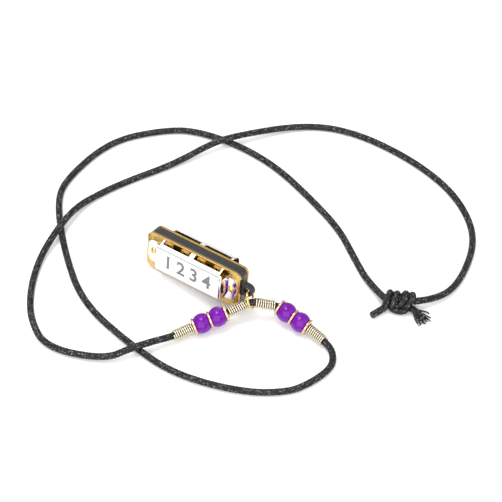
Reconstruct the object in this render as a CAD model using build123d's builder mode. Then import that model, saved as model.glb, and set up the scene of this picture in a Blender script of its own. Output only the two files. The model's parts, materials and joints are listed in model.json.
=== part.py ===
"""Miniature four-hole harmonica worn as a pendant on a beaded, knotted cord.

Millimetres, +Z up. The harmonica stands on its mouthpiece edge, leaning back a little, with its lug end
held up by the ring and the cord. Positions on the harmonica are given in its own three directions:
along (the comb's length), up (from mouthpiece edge to back edge) and front (out of the front cover).
"""
import math
import os

from build123d import *

# Comb and lug
body_length = 36.0
body_height = 13.3
corner_radius = 2.0
comb_thick = 3.4
comb_inset = 0.1  # the reed plates stand this much proud of the comb all round
hole_count = 4
hole_pitch = 0.175 * body_length
chamber_width = 4.0
chamber_depth = body_height - 1.2
lug_up = 7.2
lug_radius = 2.0
lug_thick = 2.0
lug_bore_radius = 1.3
lug_root_radius = 0.8

# Reed plates, reeds, pads and rivets
plate_thick = 0.8
reed_width = 1.8
reed_length = body_height - 5.7
reed_thick = 0.12
reed_rise = 0.06  # air between a resting reed and its plate
slot_clearance = 0.1
root_gap = 0.06
pad_width = 2.9
pad_height = 1.4
pad_thick = 0.35
draw_pad_up = body_height - 1.55
blow_pad_up = body_height - 2.2
rivet_radius = 0.35
rivet_head_radius = 0.55
rivet_head_height = 0.2
rivet_length = 0.6

# Covers
cover_length = body_length - 10.6
cover_bulge = 3.0
cover_sheet = 0.35
cover_foot_low = 1.3
cover_bend_low = 2.8
cover_bend_high = body_height - 2.0
cover_foot_high = body_height - 0.5
cover_edge_radius = 0.6
tab_reach = body_length / 2 - 0.8  # outer end of an end tab, from the middle
tab_low = 2.7
tab_high = body_height - 2.4
tab_corner_radius = min(2.3, 0.45 * (tab_high - tab_low))
window_inner = 0.85
window_outer = cover_length / 2 - 1.6
window_height = 1.5
corner_notch_low = body_height - 3.3
corner_notch_width = 1.3
rear_cover_along = -0.5  # the rear cover sits this much off the front one's place
rear_cover_up = 0.45
rear_bend_rise = 0.65  # its upper bend is this much nearer the back edge as well
rear_cover_bulge = 3.4

# Nails
nail_along = body_length / 2 - 2.9
nail_up = 6.9
nail_head_radius = 1.15
nail_head_height = 0.85
nail_shank_radius = 0.5
nail_bite = 1.2  # depth of shank in the comb
nail_clearance = 0.02

# Cord
cord_radius = 1.1
drawn_cord_radius = 1.1  # the strands' heights below suit this one and rise with a thicker cord

# Jump ring
ring_radius = 2.95
lug_along = max(1.8, 4.75 - ring_radius)  # eyelet beyond the comb's end, so the coils clear it
ring_wire_radius = 0.4
ring_swing = 31.0  # degrees from straight below the eyelet towards the free end
ring_lean = 12.0  # degrees out of the front
ring_turn = 23.0  # degrees that the ring is turned about its own long way
cord_in_ring = 2 * ring_radius - ring_wire_radius - cord_radius - 0.3  # from the eyelet's centre to the cord's centre

# What is threaded on the cord
coil_radius = cord_radius + 0.75
coil_bore_radius = cord_radius + 0.15
bead_radius = 3.2
bead_length = 4.45
bead_bore_radius = cord_radius + 0.4
bead_end_radius = 2.35
washer_radius = 2.85
washer_bore_radius = cord_radius + 0.3
washer_thick = 0.8
washer_edge_radius = 0.3
stack_gap = 0.05
left_inner_coil_start = 1.72  # from the cord's bend in the ring
right_inner_coil_start = 1.8
left_inner_coil_length = 6.58
right_inner_coil_length = 5.3
left_outer_coil_length = 5.9
right_outer_coil_length = 6.2
outer_coil_start = 0.25  # from the last washer's bend
right_stack_start = 0.4  # from the right inner coil's bend
lead_length = 1.8  # cord inside the outer coil that belongs to the free strand
ring_bend_radius = 2.6
chain_bend_radius = 6.6

# Rest pose
rest_lean = 13.2
rest_pitch = 3.5
eyelet_x = 17.085
eyelet_y = 0.044

# Bends of the threaded stretch, left then right, and the free strands from coil to knot
left_bend = Vector(8.15, -17.8, 2.95)
right_bend_inner = Vector(26.3, 3.0, 5.2)
right_bend_outer = Vector(38.1, 2.9, 2.65)
left_strand = [
    (5.3, -23.6, 2.6),
    (1.5, -29.6, 3.5),
    (-2.2, -35.2, 3.5),
    (-7.5, -42.6, 1.6),
    (-25.5, -49.1, 1.1),
    (-36.5, -43.1, 1.1),
    (-44.0, -34.1, 1.1),
    (-49.5, -23.1, 1.3),
    (-51.0, -13.6, 3.5),
    (-52.5, -3.1, 3.5),
    (-53.0, 5.9, 1.3),
    (-48.0, 19.4, 1.1),
    (-39.0, 35.9, 1.1),
    (-32.5, 49.9, 3.5),
    (-27.5, 57.9, 3.5),
    (-13.5, 76.4, 1.1),
    (1.5, 83.4, 1.1),
    (21.5, 84.4, 1.1),
    (41.0, 80.9, 1.1),
    (54.5, 73.4, 1.1),
    (63.0, 63.4, 1.1),
    (67.0, 46.9, 1.1),
    (65.1, 36.4, 2.0),
    (59.85, 30.35, 3.4),
]
right_strand = [
    (47.2, 1.55, 1.5),
    (50.5, -1.8, 1.1),
    (51.5, -5.7, 1.1),
    (49.7, -12.9, 1.1),
    (46.0, -20.0, 1.1),
    (34.5, -28.1, 1.1),
    (14.0, -34.4, 1.1),
    (-4.0, -33.2, 1.1),
    (-27.0, -28.6, 1.1),
    (-44.5, -15.8, 1.1),
    (-60.5, -0.1, 1.1),
    (-64.7, 9.9, 1.1),
    (-63.3, 32.4, 1.1),
    (-51.5, 46.9, 1.1),
    (-42.0, 53.2, 1.1),
    (-26.0, 56.0, 1.1),
    (-9.5, 55.0, 1.1),
    (9.0, 49.2, 1.1),
    (23.2, 43.6, 1.1),
    (33.2, 36.6, 1.1),
    (43.3, 29.5, 1.7),
    (51.5, 26.1, 3.4),
]

# Knot
knot_radius = 3.4
knot_overhang = 0.4  # past the ends of the two strands
socket_clearance = 0.02
knot_waist = 0.55  # share of the knot's length at full thickness
cut_tail_end = (50.9, 19.4, 1.2)
frayed_tail_end = (65.6, 27.0, 1.7)
frayed_tail_radius = 1.6


# Directions and planes -------------------------------------------------------------------------------
half_depth = comb_thick / 2 + plate_thick
end_along = body_length / 2
tilt = Location((0, 0, 0), (0, 1, 0), -rest_pitch) * Location((0, 0, 0), (1, 0, 0), -rest_lean)
along_rise = math.sin(math.radians(rest_pitch))
up_rise = math.cos(math.radians(rest_pitch)) * math.cos(math.radians(rest_lean))
back_drop = math.cos(math.radians(rest_pitch)) * math.sin(math.radians(rest_lean))
corner_drop = corner_radius * (math.hypot(along_rise, up_rise) - up_rise)
rest_z = half_depth * back_drop + (end_along - corner_radius) * along_rise + corner_drop
eyelet_place = (tilt * Location((end_along + lug_along, 0, lug_up))).position
rest = Location((eyelet_x - eyelet_place.X, eyelet_y - eyelet_place.Y, rest_z)) * tilt


def facing(front, along=0.0, up=0.0):
    """Plane parallel to the reed plates, out of the front by that much; x runs along and y runs up."""
    return Plane(rest * Location((along, -front, up)) * Plane.XZ.location)


def section(along):
    """Plane across the comb at that place; x runs up and y runs out of the front."""
    return Plane(rest * Plane(origin=(along, 0, 0), x_dir=(0, 0, 1), z_dir=(1, 0, 0)).location)


def on_body(along, up, front=0.0):
    return facing(front, along, up).origin


def save(part, name):
    part.label = name
    export_step(part, f"parts/{name}.step")


os.makedirs("parts", exist_ok=True)
lug_centre_along = end_along + lug_along
hole_columns = [(i - (hole_count - 1) / 2) * hole_pitch for i in range(hole_count)]

# Comb ------------------------------------------------------------------------------------------------
with BuildPart() as comb:
    with BuildSketch(facing(-comb_thick / 2, 0, body_height / 2)):
        RectangleRounded(
            body_length - 2 * comb_inset, body_height - 2 * comb_inset, corner_radius - comb_inset
        )
    extrude(amount=comb_thick)
    with BuildSketch(facing(-lug_thick / 2, lug_centre_along, lug_up)):
        Circle(lug_radius)
        with Locations((-lug_along, 0)):
            Rectangle(2 * lug_along, 2 * lug_radius)
    extrude(amount=lug_thick)
    root_points = [on_body(end_along - comb_inset, lug_up + side * lug_radius) for side in (-1, 1)]
    fillet([comb.edges().sort_by_distance(point)[0] for point in root_points], lug_root_radius)
    with BuildSketch(facing(-comb_thick / 2)):
        with Locations([(column, chamber_depth / 2 - 0.5) for column in hole_columns]):
            Rectangle(chamber_width, chamber_depth + 1)
    extrude(amount=comb_thick, mode=Mode.SUBTRACT)
    with BuildSketch(facing(-comb_thick / 2)):
        with Locations((lug_centre_along, lug_up)):
            Circle(lug_bore_radius)
        with Locations((-nail_along, nail_up), (nail_along, nail_up)):
            Circle(nail_shank_radius + nail_clearance)
    extrude(amount=comb_thick, mode=Mode.SUBTRACT)
save(comb.part, "comb")


# Reed plates, pads, rivets and reeds -----------------------------------------------------------------
def reed_set(name, side, pad_up, reeds_outside):
    """One reed plate with its four reeds. side is 1 for the front plate and -1 for the rear one."""
    inner, outer = side * comb_thick / 2, side * half_depth
    root_up = pad_up - pad_height / 2
    tip_up = root_up - root_gap - reed_length
    reed_side = side if reeds_outside else -side
    reed_face = outer if reeds_outside else inner
    far_face = inner if reeds_outside else outer
    with BuildPart() as plate:
        with BuildSketch(facing(inner, 0, body_height / 2)):
            RectangleRounded(body_length, body_height, corner_radius)
        extrude(amount=side * plate_thick)
        with BuildSketch(facing(inner)):
            slot_low = tip_up - slot_clearance
            with Locations([(column, (slot_low + root_up) / 2) for column in hole_columns]):
                Rectangle(reed_width + 2 * slot_clearance, root_up - slot_low)
            with Locations([(column, pad_up) for column in hole_columns]):
                Circle(rivet_radius + nail_clearance)
            with Locations((-nail_along, nail_up), (nail_along, nail_up)):
                Circle(nail_shank_radius + nail_clearance)
        extrude(amount=side * plate_thick, mode=Mode.SUBTRACT)
    save(plate.part, f"{name}_reed_plate")

    with BuildPart() as pads:
        with BuildSketch(facing(reed_face)):
            with Locations([(column, pad_up) for column in hole_columns]):
                RectangleRounded(pad_width, pad_height, 0.25)
                Circle(rivet_radius + nail_clearance, mode=Mode.SUBTRACT)
        extrude(amount=reed_side * pad_thick)
    save(pads.part, f"{name}_reed_pads")

    with BuildPart() as rivets:
        head_face = reed_face + reed_side * pad_thick
        with BuildSketch(facing(head_face)):
            with Locations([(column, pad_up) for column in hole_columns]):
                Circle(rivet_head_radius)
        extrude(amount=reed_side * rivet_head_height, taper=20)
        with BuildSketch(facing(head_face)):
            with Locations([(column, pad_up) for column in hole_columns]):
                Circle(rivet_radius)
        extrude(amount=far_face - head_face)
    save(rivets.part, f"{name}_reed_rivets")

    for number, column in enumerate(hole_columns, start=1):
        with BuildPart() as reed:
            with BuildSketch(facing(reed_face + reed_side * reed_rise)):
                with Locations((column, (root_up - root_gap + tip_up) / 2)):
                    Rectangle(reed_width, reed_length)
            extrude(amount=reed_side * reed_thick)
        save(reed.part, f"{name}_reed_{number}")
    hinge = on_body(0, root_up, reed_face + reed_side * (reed_rise + reed_thick / 2))
    print(name, "reed hinge", hinge)


reed_set("draw", 1, draw_pad_up, True)
reed_set("blow", -1, blow_pad_up, False)


# Covers and their nails ------------------------------------------------------------------------------
def cover_set(name, side, bulge, shift_along=0.0, shift_up=0.0, bend_rise=0.0):
    """A pressed sheet cover with an end tab each side, and the two nails that hold it."""
    plate_face = side * half_depth
    crown = side * (half_depth + bulge)
    bend_high = cover_bend_high + bend_rise
    inner_end = cover_length / 2 - cover_sheet
    window_length = window_outer - window_inner
    seat_point = on_body(shift_along, body_height / 2, plate_face)
    with BuildPart() as cover:
        with BuildSketch(section(shift_along - cover_length / 2)):
            Polygon(
                (cover_foot_low + shift_up, plate_face),
                (cover_bend_low + shift_up, crown),
                (bend_high + shift_up, crown),
                (cover_foot_high + shift_up, plate_face),
                align=None,
            )
        extrude(amount=cover_length)
        seat_edges = cover.faces().sort_by_distance(seat_point)[0].edges()
        fillet([edge for edge in cover.edges() if edge not in seat_edges], cover_edge_radius)
        offset(amount=-cover_sheet, openings=cover.faces().sort_by_distance(seat_point)[0])
        with BuildSketch(facing(plate_face, shift_along, shift_up)):
            for end in (-1, 1):
                tab_length = tab_reach - inner_end + tab_corner_radius
                with Locations((end * (tab_reach - tab_length / 2), (tab_low + tab_high) / 2)):
                    RectangleRounded(tab_length, tab_high - tab_low, tab_corner_radius)
            with Locations((0, body_height / 2)):
                Rectangle(2 * inner_end, body_height, mode=Mode.SUBTRACT)
        extrude(amount=side * cover_sheet)
        with BuildSketch(facing(plate_face)):
            with Locations((-nail_along, nail_up), (nail_along, nail_up)):
                Circle(nail_shank_radius + nail_clearance)
        extrude(amount=side * cover_sheet, mode=Mode.SUBTRACT)
        with BuildSketch(facing(plate_face, shift_along, shift_up)):
            for end in (-1, 1):
                with Locations((end * (window_inner + window_outer) / 2, body_height)):
                    Rectangle(window_length, 2 * (body_height - bend_high))
        extrude(amount=side * window_height, mode=Mode.SUBTRACT)
        with BuildSketch(facing(plate_face, shift_along, shift_up)):
            notch_top = body_height + 1
            for end in (-1, 1):
                with Locations((end * (cover_length / 2 + 0.2), (corner_notch_low + notch_top) / 2)):
                    Rectangle(2 * corner_notch_width, notch_top - corner_notch_low)
        extrude(amount=side * (bulge - cover_edge_radius), mode=Mode.SUBTRACT)
    save(cover.part, f"{name}_cover")

    tab_face = plate_face + side * cover_sheet
    shank = cover_sheet + plate_thick + nail_bite
    along_axis = facing(0).x_dir
    outward = facing(0).z_dir * side
    with BuildPart() as nails:
        for end in (-1, 1):
            seat_point = on_body(end * nail_along, nail_up, tab_face)
            with BuildSketch(Plane(origin=seat_point, x_dir=along_axis, z_dir=along_axis.cross(outward))):
                with BuildLine():
                    Polyline((0, nail_head_height), (0, -shank), (nail_shank_radius, -shank))
                    Polyline((nail_shank_radius, -shank), (nail_shank_radius, 0), (nail_head_radius, 0))
                    TangentArc((0, nail_head_height), (nail_head_radius, 0), tangent=(1, 0))
                make_face()
            revolve(axis=Axis(seat_point, outward))
    save(nails.part, f"{name}_cover_nails")


cover_set("front", 1, cover_bulge)
cover_set("rear", -1, rear_cover_bulge, rear_cover_along, rear_cover_up, rear_bend_rise)

# Jump ring -------------------------------------------------------------------------------------------
swing = math.radians(ring_swing)
lean = math.radians(ring_lean)
turn = math.radians(ring_turn)
hole = on_body(lug_centre_along, lug_up)
out_front = facing(0).z_dir
down = on_body(lug_centre_along + math.sin(swing), lug_up - math.cos(swing)) - hole
across = down.cross(out_front)
reach = down * math.cos(lean) + out_front * math.sin(lean)
ring_axis = across * math.cos(turn) + across.cross(reach) * math.sin(turn)
with BuildPart(Plane(origin=hole + reach * ring_radius, x_dir=reach, z_dir=ring_axis)) as ring:
    Torus(ring_radius, ring_wire_radius)
save(ring.part, "jump_ring")


# Cord ------------------------------------------------------------------------------------------------
def run_lengths(points):
    return [(b - a).length for a, b in zip(points, points[1:])]


def bend_radii(points, limit=None):
    """Largest arc that each corner's two runs allow, or the given limit where that is smaller."""
    runs = run_lengths(points)
    radii = []
    for i in range(1, len(points) - 1):
        angle = (points[i] - points[i - 1]).get_angle(points[i + 1] - points[i])
        radius = 0.45 * min(runs[i - 1], runs[i]) / math.tan(math.radians(angle) / 2)
        radii.append(radius if limit is None else min(radius, limit[i - 1]))
    return radii


def cord_tube(name, points, limit=None):
    radii = bend_radii(points, limit)
    print(name, "radii", [round(radius, 1) for radius in radii])
    with BuildPart() as tube:
        with BuildLine() as path:
            FilletPolyline(*points, radius=radii)
        route = path.wire()
        start = Plane(origin=route @ 0, z_dir=route % 0)
        with BuildSketch(start):
            Circle(cord_radius)
        sweep(path=route)
    ideal = math.pi * cord_radius**2 * route.length
    print(name, "length", round(route.length, 1), "volume ratio", round(tube.part.volume / ideal, 4))
    save(tube.part, name)


def towards(start, end, distance):
    return start + (end - start).normalized() * distance


ring_bend = hole + reach * cord_in_ring
lift = cord_radius / drawn_cord_radius
left_points = [Vector(x, y, z * lift) for x, y, z in left_strand]
right_points = [Vector(x, y, z * lift) for x, y, z in right_strand]
left_lead_end = outer_coil_start + left_outer_coil_length - lead_length
right_lead_end = outer_coil_start + right_outer_coil_length - lead_length
left_lead = towards(left_bend, left_points[0], left_lead_end)
right_lead = towards(right_bend_outer, right_points[0], right_lead_end)
core_points = [left_lead, left_bend, ring_bend, right_bend_inner, right_bend_outer, right_lead]
core_limits = [chain_bend_radius, ring_bend_radius, chain_bend_radius, chain_bend_radius]
cord_tube("cord_core", core_points, core_limits)
cord_tube("cord_left", [left_lead, *left_points])
cord_tube("cord_right", [right_lead, *right_points])


# Coils, washers and beads ----------------------------------------------------------------------------
def threaded(name, start, end, distance, length, outline):
    """A ring-shaped piece round the straight stretch from start to end, beginning at that distance."""
    axis = (end - start).normalized()
    origin = start + axis * distance
    side = axis.cross(Vector(0, 0, 1)).normalized()
    with BuildPart() as piece:
        with BuildSketch(Plane(origin=origin, x_dir=side, z_dir=side.cross(axis))):
            outline(length)
        revolve(axis=Axis(origin, axis))
    save(piece.part, name)
    return distance + length + stack_gap


def coil_outline(length):
    with Locations(((coil_bore_radius + coil_radius) / 2, length / 2)):
        Rectangle(coil_radius - coil_bore_radius, length)


def washer_outline(length):
    with Locations(((washer_bore_radius + washer_radius) / 2, length / 2)):
        RectangleRounded(washer_radius - washer_bore_radius, length, washer_edge_radius)


def bead_outline(length):
    with BuildLine() as profile:
        Line((bead_bore_radius, 0), (bead_end_radius, 0))
        ThreePointArc((bead_end_radius, 0), (bead_radius, length / 2), (bead_end_radius, length))
        Polyline((bead_end_radius, length), (bead_bore_radius, length), (bead_bore_radius, 0))
    make_face(profile.edges())


def threaded_stack(side, start, end, distance):
    at = threaded(f"{side}_inner_washer", start, end, distance, washer_thick, washer_outline)
    at = threaded(f"{side}_inner_bead", start, end, at, bead_length, bead_outline)
    at = threaded(f"{side}_mid_washer", start, end, at, washer_thick, washer_outline)
    at = threaded(f"{side}_outer_bead", start, end, at, bead_length, bead_outline)
    at = threaded(f"{side}_outer_washer", start, end, at, washer_thick, washer_outline)
    print(side, "stack ends at", round(at, 2), "of", round((end - start).length, 2))


after = threaded(
    "left_inner_coil",
    ring_bend,
    left_bend,
    left_inner_coil_start,
    left_inner_coil_length,
    coil_outline,
)
threaded_stack("left", ring_bend, left_bend, after)
threaded(
    "left_outer_coil",
    left_bend,
    left_points[0],
    outer_coil_start,
    left_outer_coil_length,
    coil_outline,
)
threaded(
    "right_inner_coil",
    ring_bend,
    right_bend_inner,
    right_inner_coil_start,
    right_inner_coil_length,
    coil_outline,
)
threaded_stack("right", right_bend_inner, right_bend_outer, right_stack_start)
threaded(
    "right_outer_coil",
    right_bend_outer,
    right_points[0],
    outer_coil_start,
    right_outer_coil_length,
    coil_outline,
)

# Knot ------------------------------------------------------------------------------------------------
knot_start = towards(right_points[-1], left_points[-1], -knot_overhang)
knot_end = towards(left_points[-1], right_points[-1], -knot_overhang)
knot_length = (knot_end - knot_start).length
knot_axis = (knot_end - knot_start).normalized()
knot_side = knot_axis.cross(Vector(0, 0, 1)).normalized()
shoulder = knot_length * (1 - knot_waist) / 2
knot_centre = (knot_start + knot_end) / 2
with BuildPart() as knot:
    with BuildSketch(Plane(origin=knot_start, x_dir=knot_side, z_dir=knot_side.cross(knot_axis))):
        with BuildLine():
            Polyline((cord_radius + 0.3, knot_length), (0, knot_length), (0, 0), (cord_radius + 0.3, 0))
            Spline(
                (cord_radius + 0.3, 0),
                (knot_radius, shoulder),
                (knot_radius - 0.35, knot_length / 2),
                (knot_radius, knot_length - shoulder),
                (cord_radius + 0.3, knot_length),
            )
        make_face()
    revolve(axis=Axis(knot_start, knot_axis))
    for tail_end, radius in ((cut_tail_end, cord_radius), (frayed_tail_end, frayed_tail_radius)):
        end = Vector(*tail_end)
        with BuildSketch(Plane(origin=knot_centre, z_dir=end - knot_centre)):
            Circle(radius)
        extrude(amount=(end - knot_centre).length)
    for strand in (left_points, right_points):
        with BuildSketch(Plane(origin=strand[-1], z_dir=strand[-2] - strand[-1])):
            Circle(cord_radius + socket_clearance)
        extrude(amount=knot_radius, mode=Mode.SUBTRACT)
save(knot.part, "cord_knot")
print("eyelet", hole, "hole axis", out_front, "ring bend", ring_bend, "ring axis", ring_axis)
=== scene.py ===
"""Finishes, cords, coils and knot for a miniature harmonica worn as a pendant."""
import json
import math
import random

import bpy
from bpy.props import FloatProperty, IntProperty, PointerProperty
from mathutils import Matrix, Vector, noise

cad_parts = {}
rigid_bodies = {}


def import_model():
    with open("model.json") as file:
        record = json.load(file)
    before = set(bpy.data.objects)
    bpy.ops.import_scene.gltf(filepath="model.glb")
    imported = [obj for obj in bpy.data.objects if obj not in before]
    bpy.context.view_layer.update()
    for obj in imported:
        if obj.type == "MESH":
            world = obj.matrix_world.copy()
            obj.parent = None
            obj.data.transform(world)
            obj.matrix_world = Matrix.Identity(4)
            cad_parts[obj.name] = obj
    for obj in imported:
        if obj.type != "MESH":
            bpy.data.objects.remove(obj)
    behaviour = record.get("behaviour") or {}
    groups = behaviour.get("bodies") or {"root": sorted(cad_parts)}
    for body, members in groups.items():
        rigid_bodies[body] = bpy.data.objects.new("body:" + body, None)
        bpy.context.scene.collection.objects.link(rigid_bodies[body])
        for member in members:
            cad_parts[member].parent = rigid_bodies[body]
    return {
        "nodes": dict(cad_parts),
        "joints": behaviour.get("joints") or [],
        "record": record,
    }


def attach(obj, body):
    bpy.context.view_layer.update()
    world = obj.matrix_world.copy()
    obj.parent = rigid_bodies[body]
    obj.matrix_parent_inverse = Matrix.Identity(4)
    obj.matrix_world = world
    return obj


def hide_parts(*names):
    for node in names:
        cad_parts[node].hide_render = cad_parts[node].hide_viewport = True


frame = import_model()
nodes = frame["nodes"]
joints = {joint["name"]: joint for joint in frame["joints"]}

bl_info = {
    "name": "Harmonica pendant",
    "version": (1, 0, 0),
    "blender": (4, 5, 0),
    "location": "View3D > Sidebar > Harmonica",
    "description": "Builds the looks of a miniature harmonica on a beaded, knotted cord",
    "category": "Object",
}

MM = 0.001
NECKLACE = "necklace"
RING_BEND = Vector(joints["ring_on_cord"]["pos_m"])
RING_LINE = Vector(joints["ring_on_cord"]["axis"])
SIDES = ("left", "right")
THREADED = ("inner_washer", "inner_bead", "mid_washer", "outer_bead", "outer_washer")

# Bends of the threaded stretch and the free strands, from the coils to the knot, in metres
LEFT_BEND = Vector((0.00815, -0.0178, 0.00295))
RIGHT_BEND_INNER = Vector((0.0263, 0.003, 0.0052))
RIGHT_BEND_OUTER = Vector((0.0381, 0.0029, 0.00265))
LEFT_STRAND = [
    (0.0053, -0.0236, 0.0026),
    (0.0015, -0.0296, 0.0035),
    (-0.0022, -0.0352, 0.0035),
    (-0.0075, -0.0426, 0.0016),
    (-0.0255, -0.0491, 0.0011),
    (-0.0365, -0.0431, 0.0011),
    (-0.044, -0.0341, 0.0011),
    (-0.0495, -0.0231, 0.0013),
    (-0.051, -0.0136, 0.0035),
    (-0.0525, -0.0031, 0.0035),
    (-0.053, 0.0059, 0.0013),
    (-0.048, 0.0194, 0.0011),
    (-0.039, 0.0359, 0.0011),
    (-0.0325, 0.0499, 0.0035),
    (-0.0275, 0.0579, 0.0035),
    (-0.0135, 0.0764, 0.0011),
    (0.0015, 0.0834, 0.0011),
    (0.0215, 0.0844, 0.0011),
    (0.041, 0.0809, 0.0011),
    (0.0545, 0.0734, 0.0011),
    (0.063, 0.0634, 0.0011),
    (0.067, 0.0469, 0.0011),
    (0.0651, 0.0364, 0.002),
    (0.05985, 0.03035, 0.0034),
]
RIGHT_STRAND = [
    (0.0472, 0.00155, 0.0015),
    (0.0505, -0.0018, 0.0011),
    (0.0515, -0.0057, 0.0011),
    (0.0497, -0.0129, 0.0011),
    (0.046, -0.02, 0.0011),
    (0.0345, -0.0281, 0.0011),
    (0.014, -0.0344, 0.0011),
    (-0.004, -0.0332, 0.0011),
    (-0.027, -0.0286, 0.0011),
    (-0.0445, -0.0158, 0.0011),
    (-0.0605, -0.0001, 0.0011),
    (-0.0647, 0.0099, 0.0011),
    (-0.0633, 0.0324, 0.0011),
    (-0.0515, 0.0469, 0.0011),
    (-0.042, 0.0532, 0.0011),
    (-0.026, 0.056, 0.0011),
    (-0.0095, 0.055, 0.0011),
    (0.009, 0.0492, 0.0011),
    (0.0232, 0.0436, 0.0011),
    (0.0332, 0.0366, 0.0011),
    (0.0433, 0.0295, 0.0017),
    (0.0515, 0.0261, 0.0034),
]
CUT_TAIL_END = Vector((0.0509, 0.0194, 0.0012))
FRAYED_TAIL_END = Vector((0.0656, 0.027, 0.0017))


# Nodes and materials -------------------------------------------------------------------------
def colour(code):
    """Linear colour of an sRGB hex value."""
    channels = [int(code[i : i + 2], 16) / 255 for i in (1, 3, 5)]
    linear = [c / 12.92 if c <= 0.04045 else ((c + 0.055) / 1.055) ** 2.4 for c in channels]
    return (*linear, 1.0)


def add_node(tree, kind, inputs=None, **settings):
    """Adds a node with its settings. An input takes a value or another node's output."""
    node = tree.nodes.new(kind)
    for name, value in settings.items():
        setattr(node, name, value)
    for name, value in (inputs or {}).items():
        if isinstance(value, bpy.types.NodeSocket):
            tree.links.new(value, node.inputs[name])
        else:
            node.inputs[name].default_value = value
    return node


def start_material(name):
    material = bpy.data.materials.new(name)
    material.use_nodes = True
    tree = material.node_tree
    tree.nodes.clear()
    shader = add_node(tree, "ShaderNodeBsdfPrincipled")
    add_node(tree, "ShaderNodeOutputMaterial", {"Surface": shader.outputs["BSDF"]})
    place = add_node(tree, "ShaderNodeTexCoord").outputs["Object"]
    return material, tree, shader, place


def set_inputs(tree, shader, **values):
    for name, value in values.items():
        socket = shader.inputs[name.replace("_", " ")]
        if isinstance(value, bpy.types.NodeSocket):
            tree.links.new(value, socket)
        else:
            socket.default_value = value


def noise_at(tree, place, size_mm, detail=2.0):
    """Noise whose blotches are about that many millimetres across."""
    inputs = {"Vector": place, "Scale": 1 / (size_mm * MM), "Detail": detail}
    return add_node(tree, "ShaderNodeTexNoise", inputs).outputs["Fac"]


def blend_colours(tree, factor, first, second):
    mix = add_node(tree, "ShaderNodeMix", {"Factor": factor}, data_type="RGBA")
    mix.inputs["A"].default_value = first
    mix.inputs["B"].default_value = second
    return mix.outputs["Result"]


def remap(tree, value, low, high, to_low, to_high):
    inputs = {"Value": value, "From Min": low, "From Max": high}
    inputs |= {"To Min": to_low, "To Max": to_high}
    return add_node(tree, "ShaderNodeMapRange", inputs).outputs["Result"]


def bump(tree, height, depth_mm, strength):
    inputs = {"Height": height, "Distance": depth_mm * MM, "Strength": strength}
    return add_node(tree, "ShaderNodeBump", inputs).outputs["Normal"]


def moulded_abs():
    """Black ABS from a satin mould: charcoal, with soft highlights and faint flow mottling."""
    material, tree, shader, place = start_material("moulded_abs")
    mottle = noise_at(tree, place, 2.5)
    grain = noise_at(tree, place, 0.12)
    set_inputs(
        tree,
        shader,
        Base_Color=blend_colours(tree, mottle, colour("#1d1d1f"), colour("#2a2a2c")),
        Roughness=remap(tree, mottle, 0.3, 0.7, 0.24, 0.36),
        Normal=bump(tree, grain, 0.01, 0.35),
    )
    return material


def rolled_brass():
    """Rolled brass sheet: warm yellow in faint drawn lines, darker where it tarnishes."""
    material, tree, shader, place = start_material("rolled_brass")
    stretched = add_node(tree, "ShaderNodeMapping", {"Vector": place, "Scale": (0.06, 1.0, 1.0)})
    lines = noise_at(tree, stretched.outputs["Vector"], 0.2)
    tarnish = noise_at(tree, place, 3.0)
    set_inputs(
        tree,
        shader,
        Metallic=1.0,
        Base_Color=blend_colours(tree, tarnish, colour("#b58f49"), colour("#dfbe7b")),
        Roughness=remap(tree, lines, 0.3, 0.7, 0.15, 0.26),
        Normal=bump(tree, lines, 0.01, 0.3),
    )
    return material


def lit_pad_brass():
    """Stamped brass for the pads: left matt, and painted paler than the plates' brass as a
    highlight, so the pads read as lit inside the dark covers.
    """
    material, tree, shader, place = start_material("lit_pad_brass")
    grain = noise_at(tree, place, 0.25)
    set_inputs(
        tree,
        shader,
        Metallic=1.0,
        # painted highlight: a paler brass than the plates, so the pads look lit in the covers'
        # shade
        Base_Color=blend_colours(tree, grain, colour("#eeb755"), colour("#fbd483")),
        Roughness=0.55,
        Normal=bump(tree, grain, 0.02, 0.4),
    )
    return material


def mirror_chrome():
    """Chrome over pressed steel: a near-white mirror with a slight waviness left by the press."""
    material, tree, shader, place = start_material("mirror_chrome")
    wave = noise_at(tree, place, 6.0, 0.0)
    smear = noise_at(tree, place, 1.5)
    set_inputs(
        tree,
        shader,
        Metallic=1.0,
        Base_Color=colour("#f2f2f3"),
        Roughness=remap(tree, smear, 0.3, 0.7, 0.04, 0.09),
        Normal=bump(tree, wave, 0.05, 0.25),
    )
    return material


def polished_metal(name, code, roughness):
    """A polished metal with hair scratches that break the highlight."""
    material, tree, shader, place = start_material(name)
    scratch = noise_at(tree, place, 0.15)
    set_inputs(
        tree,
        shader,
        Metallic=1.0,
        Base_Color=colour(code),
        Roughness=remap(tree, scratch, 0.3, 0.7, roughness * 0.75, roughness * 1.25),
        Normal=bump(tree, scratch, 0.004, 0.2),
    )
    return material


def purple_acrylic():
    """Moulded opaque acrylic: saturated purple under a gloss, cloudy where the colour pooled."""
    material, tree, shader, place = start_material("purple_acrylic")
    cloud = noise_at(tree, place, 2.0)
    ripple = noise_at(tree, place, 1.2, 0.0)
    set_inputs(
        tree,
        shader,
        Base_Color=blend_colours(tree, cloud, colour("#5c0082"), colour("#6e0098")),
        Roughness=0.16,
        IOR=1.42,
        Specular_IOR_Level=0.38,
        Normal=bump(tree, ripple, 0.03, 0.2),
    )
    return material


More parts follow.
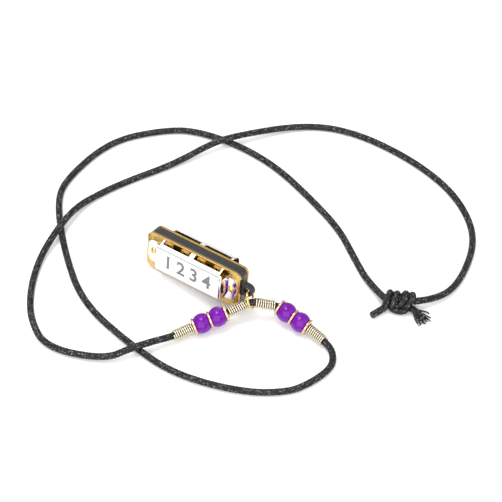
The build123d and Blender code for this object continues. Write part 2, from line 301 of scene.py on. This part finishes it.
def waxed_cotton():
    """Waxed cotton braid: near black, with a painted highlight: pale flecks on the crowns of the
    yarns, where light would glint off the wax.

    It reads two attributes that tube() stores: where a point is along and round the cord, and
    how near it is to a yarn's crown.
    """
    material, tree, shader, _ = start_material("braided_cotton")
    lay = add_node(tree, "ShaderNodeAttribute", attribute_name="lay").outputs["Vector"]
    crown = add_node(tree, "ShaderNodeAttribute", attribute_name="crown").outputs["Fac"]
    stretched = add_node(tree, "ShaderNodeMapping", {"Vector": lay, "Scale": (0.3, 1.0, 1.0)})
    fleck = noise_at(tree, stretched.outputs["Vector"], 0.32)
    glint_flecks = remap(tree, fleck, 0.56, 0.68, 0.0, 1.0)
    product = {"operation": "MULTIPLY", "use_clamp": True}
    # painted highlight: the flecks are kept only on the yarns' crowns, standing in for light
    # glinting off the wax
    painted_glint = add_node(tree, "ShaderNodeMath", {0: glint_flecks, 1: crown}, **product).outputs["Value"]
    set_inputs(
        tree,
        shader,
        # the pale colour is the painted glint on the crowns, not a colour of the cord
        Base_Color=blend_colours(tree, painted_glint, colour("#080909"), colour("#8f9290")),
        Roughness=remap(tree, painted_glint, 0.0, 1.0, 0.55, 0.38),
        Specular_IOR_Level=0.28,
        Normal=bump(tree, fleck, 0.08, 0.6),
    )
    return material


def printed_ink():
    """Grey screen-printed ink, matt against the chrome."""
    material, tree, shader, place = start_material("printed_ink")
    speckle = noise_at(tree, place, 0.2)
    set_inputs(
        tree,
        shader,
        Base_Color=blend_colours(tree, speckle, colour("#66676a"), colour("#76777a")),
        Roughness=0.6,
    )
    return material


def studio_paper():
    """Seamless white paper, evenly matt."""
    material, tree, shader, place = start_material("studio_paper")
    fibre = noise_at(tree, place, 0.8)
    set_inputs(
        tree,
        shader,
        Base_Color=blend_colours(tree, fibre, colour("#f4f4f4"), colour("#f8f8f8")),
        Roughness=0.9,
    )
    return material


def paint(piece, material):
    piece.data.materials.clear()
    piece.data.materials.append(material)


# Meshes --------------------------------------------------------------------------------------
def deselect_all():
    if bpy.context.object and bpy.context.object.mode != "OBJECT":
        bpy.ops.object.mode_set(mode="OBJECT")
    bpy.ops.object.select_all(action="DESELECT")


def make_active(piece):
    deselect_all()
    piece.select_set(True)
    bpy.context.view_layer.objects.active = piece


def mesh_object(name, vertices, faces):
    mesh = bpy.data.meshes.new(name)
    mesh.from_pydata(vertices, [], faces)
    mesh.update()
    piece = bpy.data.objects.new(name, mesh)
    bpy.context.scene.collection.objects.link(piece)
    return piece


def smooth(piece, degrees=35.0):
    make_active(piece)
    bpy.ops.object.shade_smooth_by_angle(angle=math.radians(degrees))


def spline_line(points):
    """The points along a NURBS spline that has the given control points."""
    curve = bpy.data.curves.new("line", "CURVE")
    curve.dimensions = "3D"
    curve.resolution_u = 24
    spline = curve.splines.new("NURBS")
    spline.points.add(len(points) - 1)
    for control, point in zip(spline.points, points):
        control.co = (*point, 1.0)
    spline.order_u = 3
    spline.use_endpoint_u = True
    holder = bpy.data.objects.new("line", curve)
    mesh = bpy.data.meshes.new_from_object(holder)
    line = [vertex.co.copy() for vertex in mesh.vertices]
    bpy.data.objects.remove(holder)
    bpy.data.curves.remove(curve)
    bpy.data.meshes.remove(mesh)
    return line


def line_length(line):
    return sum((b - a).length for a, b in zip(line, line[1:]))


def evenly_spaced(line, step):
    """The same line with its points a step apart, and each point's distance from the start."""
    count = max(2, round(line_length(line) / step))
    spacing = line_length(line) / count
    points, target, passed = [line[0]], spacing, 0.0
    for a, b in zip(line, line[1:]):
        run = (b - a).length
        while run and target <= passed + run and len(points) < count:
            points.append(a.lerp(b, (target - passed) / run))
            target += spacing
        passed += run
    points.append(line[-1])
    return points, [i * spacing for i in range(len(points))]


def tube(name, line, step, around, radius_at):
    """A closed tube round a line.

    radius_at gives the wall's radius and the yarn's height at a distance and an angle.
    """
    points, distances = evenly_spaced(line, step)
    vertices, lay, crown = [], [], []
    side = None
    for i, point in enumerate(points):
        ahead = (points[min(i + 1, len(points) - 1)] - points[max(i - 1, 0)]).normalized()
        if side is None:
            side = ahead.orthogonal().normalized()
        side = (side - ahead * side.dot(ahead)).normalized()
        other = ahead.cross(side)
        for k in range(around):
            angle = math.tau * k / around
            radius, rise = radius_at(distances[i], angle)
            out = side * math.cos(angle) + other * math.sin(angle)
            vertices.append(point + out * radius)
            lay.append((distances[i], radius * math.cos(angle), radius * math.sin(angle)))
            crown.append(rise)
    faces = []
    for i in range(len(points) - 1):
        for k in range(around):
            a, b = i * around + k, i * around + (k + 1) % around
            faces.append((a, b, b + around, a + around))
    last = (len(points) - 1) * around
    faces.append(tuple(reversed(range(around))))
    faces.append(tuple(range(last, last + around)))
    piece = mesh_object(name, vertices, faces)
    where = piece.data.attributes.new("lay", "FLOAT_VECTOR", "POINT")
    where.data.foreach_set("vector", [x for triple in lay for x in triple])
    height = piece.data.attributes.new("crown", "FLOAT", "POINT")
    height.data.foreach_set("value", crown)
    smooth(piece, 60.0)
    return piece


def joined(name, pieces):
    deselect_all()
    for piece in pieces:
        piece.select_set(True)
    bpy.context.view_layer.objects.active = pieces[0]
    bpy.ops.object.join()
    pieces[0].name = name
    return pieces[0]


def rounded_copy(node, name, edge_mm):
    """A CAD piece again, with its sharp edges broken by a small round."""
    source = nodes[node]
    piece = bpy.data.objects.new(name, source.data.copy())
    bpy.context.scene.collection.objects.link(piece)
    piece.data.materials.clear()
    make_active(piece)
    bpy.ops.object.mode_set(mode="EDIT")
    bpy.ops.mesh.select_all(action="SELECT")
    bpy.ops.mesh.remove_doubles(threshold=0.002 * MM)
    bpy.ops.mesh.dissolve_limited(angle_limit=math.radians(0.5))
    bpy.ops.object.mode_set(mode="OBJECT")
    bevel = piece.modifiers.new("edges", "BEVEL")
    bevel.width = edge_mm * MM
    bevel.segments = 2
    bevel.limit_method = "ANGLE"
    bevel.angle_limit = math.radians(40)
    bpy.ops.object.modifier_apply(modifier=bevel.name)
    smooth(piece, 40.0)
    return piece


def stand_for(piece, body, material, slot, *hidden):
    """Gives a new piece its finish and its body, and hides the CAD nodes that it replaces."""
    paint(piece, material)
    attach(piece, body)
    if hidden:
        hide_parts(*hidden)


# Sizes that a user may change ----------------------------------------------------------------
class CordSizes(bpy.types.PropertyGroup):
    diameter: FloatProperty(
        name="Cord diameter",
        description="Thickness of the waxed cotton braid",
        default=2.2 * MM,
        min=1.0 * MM,
        unit="LENGTH",
    )
    relief: FloatProperty(
        name="Yarn relief",
        description="How far a yarn's crown stands proud, as a share of the radius",
        default=0.09,
        min=0.0,
        max=0.2,
    )
    yarns: IntProperty(
        name="Yarn pairs", description="Pairs of yarns round the braid", default=5, min=3, max=12
    )
    lay_length: FloatProperty(
        name="Lay length",
        description="Distance in which a yarn goes once round",
        default=11.0 * MM,
        min=4.0 * MM,
        unit="LENGTH",
    )


class CoilSizes(bpy.types.PropertyGroup):
    wire: FloatProperty(
        name="Wire diameter",
        description="Thickness of the wire of the four coils",
        default=0.53 * MM,
        min=0.2 * MM,
        unit="LENGTH",
    )
    pitch: FloatProperty(
        name="Pitch",
        description="Distance from one turn to the next",
        default=0.66 * MM,
        min=0.3 * MM,
        unit="LENGTH",
    )
    radius: FloatProperty(
        name="Coil radius",
        description="From the cord's centre to the outside of a coil",
        default=1.87 * MM,
        min=1.0 * MM,
        unit="LENGTH",
    )


class PendantSizes(bpy.types.PropertyGroup):
    edge: FloatProperty(
        name="Edge rounding",
        description="Round on the sharp edges of comb and plates, in millimetres",
        default=0.12,
        min=0.02,
    )
    numeral_height: FloatProperty(
        name="Numeral height",
        description="Height of the plain channel numbers on the covers",
        default=4.8 * MM,
        min=1.0 * MM,
        unit="LENGTH",
    )


# Cords ---------------------------------------------------------------------------------------
SLACK = 0.03  # share of the radius by which the braid swells and thins
SLACK_LENGTH = 4.0 * MM
CORD_STEP = 0.25 * MM
CORD_FACETS = 24
RING_CORE = 1.3 * MM  # the cord runs straight through the ring for this length on each side


def braid_radius(sizes):
    """Radius and yarn height of the braid at a distance along it and an angle round it."""

    def at(distance, angle):
        twist = math.tau * distance / sizes.lay_length
        weave = math.cos(sizes.yarns * (angle + twist)) * math.cos(sizes.yarns * (angle - twist))
        slack = noise.noise(Vector((distance / SLACK_LENGTH, math.cos(angle), math.sin(angle))))
        radius = sizes.diameter / 2 * (1 + sizes.relief * (weave - 0.5) + SLACK * slack)
        return radius, 0.5 + 0.5 * weave

    return at


def cord_points(side):
    """Control points of one cord from the ring to the knot."""
    if side == "left":
        chain = [RING_BEND, RING_BEND - RING_LINE * RING_CORE]
        chain += [RING_BEND.lerp(LEFT_BEND, share) for share in (0.18, 0.75)]
        return [*chain, LEFT_BEND, *map(Vector, LEFT_STRAND)]
    chain = [RING_BEND, RING_BEND + RING_LINE * RING_CORE]
    chain += [RING_BEND.lerp(RIGHT_BEND_INNER, share) for share in (0.35, 0.75)]
    chain += [RIGHT_BEND_INNER]
    chain += [RIGHT_BEND_INNER.lerp(RIGHT_BEND_OUTER, share) for share in (0.2, 0.8)]
    return [*chain, RIGHT_BEND_OUTER, *map(Vector, RIGHT_STRAND)]


class HARMONICA_OT_cords(bpy.types.Operator):
    """Braid the two halves of the cord, from the ring to the knot"""

    bl_idname = "harmonica.cords"
    bl_label = "Cords"

    def execute(self, context):
        sizes = context.scene.harmonica_cord
        material = waxed_cotton()
        for side, hidden in (("left", ("cord_core", "cord_left")), ("right", ("cord_right",))):
            line = spline_line(cord_points(side))
            cord = tube(f"{side}_cord", line, CORD_STEP, CORD_FACETS, braid_radius(sizes))
            stand_for(cord, NECKLACE, material, "waxed_cotton", *hidden)
        return {"FINISHED"}


# Knot ----------------------------------------------------------------------------------------
# All places and lengths of the knot are millimetres along, across and above its centre
WRAP_RADIUS = 2.15  # from the knot's axis to a wrap's centre
WRAP_UNEVENNESS = 0.2
WRAP_SLANT = 0.6  # how far a wrap's top leads its bottom
STEPS_PER_WRAP = 10
KNOT_LEAD = 1.2  # each strand's tube starts this far outside the knot, over its own cord
# Each strand: which end it comes in at, its first and last wrap, where the wraps cross the top,
# their pitch, and the bends of its tail as far as the tail's end
CUT_WRAPS = {"mirror": -1, "first_u": -0.9, "last_u": -4.2, "first_top": -1.4, "pitch": 2.2}
FRAYED_WRAPS = {"mirror": 1, "first_u": 0.3, "last_u": 4.2, "first_top": 0.9, "pitch": 2.1}
CUT_TAIL_BENDS = ((-4.4, -2.5, -1.7), (-5.7, -3.4, -2.1))
CUT_TAIL_LANDING = (-7.1, -4.7)  # where the cut tail comes down to its end's height
FRAYED_TAIL_BEND = (4.9, -2.2, -1.6)
FRAYED_TAIL_LANDING = (5.7, -3.1)
FRAYED_TAIL_STOP = (-1.6, 0.9)  # the braid stops here, measured from the frayed tail's end
# The bight that bulges out low on the near side, with both ends in the heart of the knot
BIGHT = (
    (-2.2, -0.4, -0.4),
    (-2.8, -1.8, -1.6),
    (-1.4, -2.7, -2.15),
    (0.7, -3.0, -2.2),
    (2.3, -2.5, -1.9),
    (2.9, -1.1, -0.9),
    (2.2, -0.2, 0.0),
)
KNOT_STEP = 0.2 * MM

# Thick bundles of the frayed tail: how far past the tail's end, and how far to its left
BUNDLE_ENDS = (
    (-1.4, 4.0),
    (0.2, 2.9),
    (1.0, 2.0),
    (0.9, 0.6),
    (1.1, -0.4),
    (0.3, -1.4),
    (-0.7, -2.1),
)
BUNDLE_RADIUS = 0.36
# Loose yarns: how many, the limits of both places of their ends, and the limits of their radius
LOOSE_BUNDLES = (10, (-1.6, 0.6), (-2.2, 2.3), (0.2, 0.3))
THREADS = (12, (-0.6, 1.6), (-2.9, 2.9))
THREAD_RADIUS = 0.09
YARN_ROOT = 4.6  # how far inside the braid a yarn starts
YARN_GATHER = 0.22  # share of its spread that a yarn has at its root
YARN_SWAY = 0.35
YARN_TAPER = 0.09  # share of its radius that a yarn loses each millimetre


def knot_frame():
    """Centre, the axes along and across, and half the length of the knot."""
    left, right = Vector(LEFT_STRAND[-1]), Vector(RIGHT_STRAND[-1])
    along = (left - right).normalized()
    across = Vector((0, 0, 1)).cross(along)
    return (left + right) / 2, along, across, (left - right).length / 2


def in_knot(u, v, w):
    """The point at a place given in the knot's own millimetres."""
    centre, along, across, _ = knot_frame()
    return centre + along * (u * MM) + across * (v * MM) + Vector((0, 0, w * MM))


def from_knot(point):
    """The place of a point in the knot's own millimetres."""
    centre, along, across, _ = knot_frame()
    local = point - centre
    return local.dot(along) / MM, local.dot(across) / MM, local.z / MM


def knot_strand(lead, tail, mirror, first_u, last_u, first_top, pitch):
    """One strand: in at its own end, through the heart, round the far half and out as its tail."""
    entry = in_knot(-knot_frame()[3] / MM * mirror, 0, 0)
    points = [entry + lead * KNOT_LEAD * MM, entry]
    points += [in_knot(-2.6 * mirror, 0.25, 0.1), in_knot(-0.4 * mirror, 0.3, 0.15)]
    steps = round(abs(last_u - first_u) / pitch * STEPS_PER_WRAP)
    slant = WRAP_SLANT * (1 + 0.7 * mirror)
    for i in range(steps + 1):
        u = first_u + (last_u - first_u) * i / steps
        angle = math.radians(90) - math.tau * (u - first_top) / pitch
        radius = WRAP_RADIUS + WRAP_UNEVENNESS * math.sin(0.8 * angle + 2 * mirror)
        v, w = radius * math.cos(angle), radius * math.sin(angle)
        points.append(in_knot(u + slant * math.sin(angle), v, w))
    return [*points, *(in_knot(*place) for place in tail)]


def frayed_yarns(tip, heading):
    """Yarns that fan out of the cut braid: a few thick bundles and many loose threads."""
    random.seed(4)
    side = Vector((-heading.y, heading.x, 0))
    fan = [(ahead, spread, BUNDLE_RADIUS) for ahead, spread in BUNDLE_ENDS]
    count, *limits = LOOSE_BUNDLES
    fan += [tuple(random.uniform(*pair) for pair in limits) for _ in range(count)]
    count, *limits = THREADS
    fan += [(*(random.uniform(*pair) for pair in limits), THREAD_RADIUS) for _ in range(count)]
    yarns = []
    for i, (ahead, spread, thick) in enumerate(fan):
        root = tip - heading * YARN_ROOT * MM + side * spread * YARN_GATHER * MM
        end = tip + heading * ahead * MM + side * spread * MM
        sway = side * random.uniform(-YARN_SWAY, YARN_SWAY) * MM
        points = [root, root.lerp(end, 0.35), root.lerp(end, 0.72) + sway, end - sway]
        lift = random.uniform(0.25, 1.0)
        heights = (1.5, 1.5 * lift + 0.4, 1.3 * lift + 0.2, 1.1 * lift)
        for point, height in zip(points, heights):
            point.z = max(thick, height) * MM

        def radius_at(distance, angle, thick=thick):
            return thick * MM * (1 - YARN_TAPER * distance / MM), 0.6

        yarns.append(tube(f"yarn_{i}", spline_line(points), 0.3 * MM, 8, radius_at))
    return yarns


class HARMONICA_OT_knot(bpy.types.Operator):
    """Tie the two strands together and fray one tail"""

    bl_idname = "harmonica.knot"
    bl_label = "Knot"

    def execute(self, context):
        radius = braid_radius(context.scene.harmonica_cord)
        cut_end = from_knot(CUT_TAIL_END)
        cut_tail = [*CUT_TAIL_BENDS, (*CUT_TAIL_LANDING, cut_end[2]), cut_end]
        frayed_end = from_knot(FRAYED_TAIL_END)
        stop = (frayed_end[0] + FRAYED_TAIL_STOP[0], frayed_end[1] + FRAYED_TAIL_STOP[1])
        frayed_tail = [FRAYED_TAIL_BEND, (*FRAYED_TAIL_LANDING, frayed_end[2])]
        frayed_tail.append((*stop, frayed_end[2]))
        left_lead = (Vector(LEFT_STRAND[-2]) - Vector(LEFT_STRAND[-1])).normalized()
        right_lead = (Vector(RIGHT_STRAND[-2]) - Vector(RIGHT_STRAND[-1])).normalized()
        cut = knot_strand(left_lead, cut_tail, **CUT_WRAPS)
        frayed = knot_strand(right_lead, frayed_tail, **FRAYED_WRAPS)
        heading = FRAYED_TAIL_END - frayed[-2]
        heading.z = 0
        heading.normalize()
        bight = [in_knot(*place) for place in BIGHT]
        strands = [
            tube(name, spline_line(points), KNOT_STEP, CORD_FACETS, radius)
            for name, points in (("cut_strand", cut), ("frayed_strand", frayed), ("bight", bight))
        ]
        knot = joined("knot", [*strands, *frayed_yarns(FRAYED_TAIL_END, heading)])
        material = bpy.data.materials["braided_cotton"]
        stand_for(knot, NECKLACE, material, "waxed_cotton", "cord_knot")
        return {"FINISHED"}


# Coils ---------------------------------------------------------------------------------------
NARROW_END = 0.5 * MM  # an inner coil is drawn in by the ring over twice this length
DRAWN_IN = 0.4 * MM
STEPS_PER_TURN = 20
WIRE_SWAY = 0.04 * MM
# How far each coil runs past its plain sleeve, at its near and at its far end
COIL_EXTRA = {
    ("left", "inner"): (NARROW_END, -0.2 * MM),
    ("left", "outer"): (0.3 * MM, 0.6 * MM),
    ("right", "inner"): (0.7 * MM, 0.6 * MM),
    ("right", "outer"): (0.1 * MM, 0.2 * MM),
}


def coil_line(side, place):
    """The stretch of the cord's own line that a coil sits on, from its plain sleeve."""
    runs = {
        ("left", "inner"): (RING_BEND, LEFT_BEND),
        ("left", "outer"): (LEFT_BEND, Vector(LEFT_STRAND[0])),
        ("right", "inner"): (RING_BEND, RIGHT_BEND_INNER),
        ("right", "outer"): (RIGHT_BEND_OUTER, Vector(RIGHT_STRAND[0])),
    }
    start, end = runs[side, place]
    axis = (end - start).normalized()
    spans = [(v.co - start).dot(axis) for v in nodes[f"{side}_{place}_coil"].data.vertices]
    before, after = COIL_EXTRA[side, place]
    first, last = min(spans) - before, max(spans) + after
    line = evenly_spaced(spline_line(cord_points(side)), 0.02 * MM)[0]
    reach = (end - start).length * 2
    return [
        point
        for point in line
        if first <= (point - start).dot(axis) <= last and (point - start).length < reach
    ]


def coil_wire(name, line, sizes, seed, drawn_in):
    """A close-wound wire coil with the small unevenness of hand-cut spring."""
    turns = (line_length(line) - sizes.wire) / sizes.pitch
    steps = round(turns * STEPS_PER_TURN)
    points = evenly_spaced(line, line_length(line) / (steps + 2))[0]
    curve = bpy.data.curves.new(name, "CURVE")
    curve.dimensions = "3D"
    curve.bevel_depth = sizes.wire / 2
    curve.bevel_resolution = 3
    curve.use_fill_caps = True
    spline = curve.splines.new("POLY")
    spline.points.add(steps)
    for i, control in enumerate(spline.points):
        ahead = (points[i + 2] - points[i]).normalized()
        side = ahead.cross(Vector((0, 0, 1))).normalized()
        angle = seed + math.tau * i / STEPS_PER_TURN
        sway = WIRE_SWAY * noise.noise(Vector((i / 60, seed, 0)))
        from_end = i * sizes.pitch / STEPS_PER_TURN
        taper = drawn_in * max(0.0, 1 - from_end / (2 * NARROW_END))
        reach = sizes.radius - sizes.wire / 2 - abs(sway) * 0.5 - taper
        out = side * math.cos(angle) + ahead.cross(side) * math.sin(angle)
        control.co = (*(points[i + 1] + ahead * sway + out * reach), 1.0)
    piece = bpy.data.objects.new(name, curve)
    bpy.context.scene.collection.objects.link(piece)
    make_active(piece)
    bpy.ops.object.convert(target="MESH")
    smooth(piece, 60.0)
    return piece


class HARMONICA_OT_coils(bpy.types.Operator):
    """Wind the four wire coils"""

    bl_idname = "harmonica.coils"
    bl_label = "Wire coils"

    def execute(self, context):
        sizes = context.scene.harmonica_coil
        material = polished_metal("nickel_wire", "#d6cdb8", 0.14)
        for seed, (side, place) in enumerate((s, p) for s in SIDES for p in ("inner", "outer")):
            line = coil_line(side, place)
            drawn_in = DRAWN_IN if place == "inner" else 0.0
            coil = coil_wire(f"{side}_{place}_wire", line, sizes, seed, drawn_in)
            stand_for(coil, NECKLACE, material, "nickel_wire", f"{side}_{place}_coil")
        return {"FINISHED"}


# Beads and washers ---------------------------------------------------------------------------
class HARMONICA_OT_beads(bpy.types.Operator):
    """Finish the beads, the washers and the jump ring"""

    bl_idname = "harmonica.beads"
    bl_label = "Beads, washers and ring"

    def execute(self, context):
        acrylic = purple_acrylic()
        gilt = polished_metal("rose_gilt", "#d8b594", 0.2)
        for side in SIDES:
            for part in THREADED:
                paint(nodes[f"{side}_{part}"], acrylic if "bead" in part else gilt)
        paint(nodes["jump_ring"], polished_metal("gilt_wire", "#e6c378", 0.16))
        return {"FINISHED"}


class HARMONICA_OT_declare(bpy.types.Operator):
    bl_idname = "harmonica.declare"
    bl_label = "Cord facts"

    def execute(self, context):
        for side in SIDES:
            line = spline_line(cord_points(side))
            on_it = [nodes[f"{side}_{part}"] for part in THREADED]
            on_it += [bpy.data.objects[f"{side}_{place}_wire"] for place in ("inner", "outer")]
            if side == "left":
                on_it.append(bpy.data.objects["knot"])
            evenly_spaced(line, 0.5 * MM)[0]
        return {"FINISHED"}


# Harmonica -----------------------------------------------------------------------------------
NUMERAL_SPACING = 5.0 * MM
FONT_PER_HEIGHT = 1.4  # font size for a numeral's height
STROKE_GROWTH = 0.035  # share of its height by which a numeral's strokes are thickened
INK_THICKNESS = 0.02 * MM
PLATE_EDGE_SHARE = 0.6  # a plate's edges are rounded by this share of the comb's


def cover_face(side):
    """Middle, reading direction, up and out of a cover's flat face."""
    mount = next(m for m in frame["record"]["mounts"] if m["name"] == f"{side}_cover_face")
    out = Vector(mount["axis"]).normalized()
    along = Vector(joints["draw_reed_1_flex"]["axis"])
    along = (along - out * out.dot(along)).normalized()
    if out.cross(along).z < 0:
        along = -along
    return Vector(mount["pos_m"]), along, out.cross(along), out


class HARMONICA_OT_comb(bpy.types.Operator):
    """Round the comb's edges and give it its moulded finish"""

    bl_idname = "harmonica.comb"
    bl_label = "Comb"

    def execute(self, context):
        edge = context.scene.harmonica_pendant.edge
        comb = rounded_copy("comb", "moulded_comb", edge)
        stand_for(comb, "harmonica", moulded_abs(), "black_abs", "comb")
        return {"FINISHED"}


class HARMONICA_OT_plates(bpy.types.Operator):
    """Round the reed plates and finish the reeds, pads and rivets"""

    bl_idname = "harmonica.plates"
    bl_label = "Reed plates and reeds"

    def execute(self, context):
        edge = context.scene.harmonica_pendant.edge
        brass = rolled_brass()
        pads = lit_pad_brass()
        for kind in ("draw", "blow"):
            plate = rounded_copy(f"{kind}_reed_plate", f"{kind}_plate", edge * PLATE_EDGE_SHARE)
            stand_for(plate, "harmonica", brass, "yellow_brass", f"{kind}_reed_plate")
            for part in ("rivets", "1", "2", "3", "4"):
                paint(nodes[f"{kind}_reed_{part}"], brass)
            paint(nodes[f"{kind}_reed_pads"], pads)
        return {"FINISHED"}


class HARMONICA_OT_covers(bpy.types.Operator):
    """Chrome the covers and finish their nails"""

    bl_idname = "harmonica.covers"
    bl_label = "Covers and nails"

    def execute(self, context):
        chrome = mirror_chrome()
        brass = polished_metal("drawn_brass", "#dcb46c", 0.14)
        for side in ("front", "rear"):
            paint(nodes[f"{side}_cover"], chrome)
            paint(nodes[f"{side}_cover_nails"], brass)
        return {"FINISHED"}


def numeral(name, digit, height):
    """A plain bold number as a thin sheet of ink, flat on the origin."""
    text = bpy.data.curves.new(name, "FONT")
    text.body = digit
    text.align_x = "CENTER"
    text.align_y = "CENTER"
    text.size = height * FONT_PER_HEIGHT
    text.offset = height * STROKE_GROWTH
    text.extrude = INK_THICKNESS / 2
    piece = bpy.data.objects.new(name, text)
    bpy.context.scene.collection.objects.link(piece)
    make_active(piece)
    bpy.ops.object.convert(target="MESH")
    return piece


class HARMONICA_OT_numerals(bpy.types.Operator):
    """Print the plain channel numbers on both covers"""

    bl_idname = "harmonica.numerals"
    bl_label = "Channel numbers"

    def execute(self, context):
        ink = printed_ink()
        height = context.scene.harmonica_pendant.numeral_height
        for side in ("front", "rear"):
            middle, along, up, out = cover_face(side)
            digits = []
            for place in range(4):
                digit = numeral(f"{side}_number_{place + 1}", str(place + 1), height)
                at = middle + along * (place - 1.5) * NUMERAL_SPACING + out * INK_THICKNESS / 2
                turn = Matrix((along, up, out)).transposed().to_4x4()
                digit.matrix_world = Matrix.Translation(at) @ turn
                make_active(digit)
                bpy.ops.object.transform_apply(location=True, rotation=True, scale=True)
                digits.append(digit)
            numbers = joined(f"{side}_numbers", digits)
            stand_for(numbers, "harmonica", ink, None)
        return {"FINISHED"}


# Stage ---------------------------------------------------------------------------------------
WORLD_STRENGTH = 0.7
LAMPS = (  # name, place in metres, side in metres, power in watts
    ("top", (-0.15, 0.0, 0.8), 0.3, 3.0),
    ("back_left", (-0.4, 0.25, 0.7), 0.6, 1.5),
    ("right", (0.6, 0.25, 0.45), 0.7, 1.2),
    ("front", (0.35, -0.75, 0.45), 1.3, 11.0),
)
CAMERA_LENS = 124.6
CAMERA_SENSOR = 36
CAMERA_PLACE = Vector((211.79, -278.64, 433.83)) * MM
CAMERA_AIM = Vector((4.04, 20.28, 0.0)) * MM


class HARMONICA_OT_stage(bpy.types.Operator):
    """Lay the paper floor, hang the lights and place the camera"""

    bl_idname = "harmonica.stage"
    bl_label = "Stage"

    def execute(self, context):
        deselect_all()
        bpy.ops.mesh.primitive_plane_add(size=4.0, location=(0, 0, 0))
        floor = context.object
        floor.name = "paper"
        paint(floor, studio_paper())
        world = bpy.data.worlds.new("studio")
        world.use_nodes = True
        background = world.node_tree.nodes["Background"]
        background.inputs["Color"].default_value = colour("#ffffff")
        background.inputs["Strength"].default_value = WORLD_STRENGTH
        context.scene.world = world
        context.scene.view_settings.view_transform = "Standard"
        for name, place, size, power in LAMPS:
            lamp = bpy.data.lights.new(name, "AREA")
            lamp.size = size
            lamp.energy = power
            holder = bpy.data.objects.new(name, lamp)
            holder.location = place
            holder.rotation_euler = (-Vector(place)).to_track_quat("-Z", "Y").to_euler()
            context.scene.collection.objects.link(holder)
        camera = bpy.data.cameras.new("camera")
        camera.sensor_width = CAMERA_SENSOR
        camera.lens = CAMERA_LENS
        camera.clip_start = 0.01
        holder = bpy.data.objects.new("camera", camera)
        holder.location = CAMERA_PLACE
        holder.rotation_euler = (CAMERA_AIM - CAMERA_PLACE).to_track_quat("-Z", "Y").to_euler()
        context.scene.collection.objects.link(holder)
        context.scene.camera = holder
        return {"FINISHED"}


class HARMONICA_PT_panel(bpy.types.Panel):
    bl_label = "Harmonica pendant"
    bl_idname = "HARMONICA_PT_panel"
    bl_space_type = "VIEW_3D"
    bl_region_type = "UI"
    bl_category = "Harmonica"

    def draw(self, context):
        layout = self.layout
        scene = context.scene
        for group in (scene.harmonica_cord, scene.harmonica_coil, scene.harmonica_pendant):
            for name in group.__annotations__:
                layout.prop(group, name)
        for operator in OPERATORS:
            layout.operator(operator.bl_idname)


OPERATORS = (
    HARMONICA_OT_stage,
    HARMONICA_OT_cords,
    HARMONICA_OT_knot,
    HARMONICA_OT_coils,
    HARMONICA_OT_beads,
    HARMONICA_OT_declare,
    HARMONICA_OT_comb,
    HARMONICA_OT_plates,
    HARMONICA_OT_covers,
    HARMONICA_OT_numerals,
)
CLASSES = (CordSizes, CoilSizes, PendantSizes, *OPERATORS, HARMONICA_PT_panel)


def register():
    for item in CLASSES:
        bpy.utils.register_class(item)
    bpy.types.Scene.harmonica_cord = PointerProperty(type=CordSizes)
    bpy.types.Scene.harmonica_coil = PointerProperty(type=CoilSizes)
    bpy.types.Scene.harmonica_pendant = PointerProperty(type=PendantSizes)


def unregister():
    del bpy.types.Scene.harmonica_pendant
    del bpy.types.Scene.harmonica_coil
    del bpy.types.Scene.harmonica_cord
    for item in reversed(CLASSES):
        bpy.utils.unregister_class(item)


def main():
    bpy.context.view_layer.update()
    register()
    bpy.ops.harmonica.stage()
    bpy.ops.harmonica.cords()
    bpy.ops.harmonica.knot()
    bpy.ops.harmonica.coils()
    bpy.ops.harmonica.beads()
    bpy.ops.harmonica.declare()
    bpy.ops.harmonica.comb()
    bpy.ops.harmonica.plates()
    bpy.ops.harmonica.covers()
    bpy.ops.harmonica.numerals()


if __name__ == "__main__":
    main()
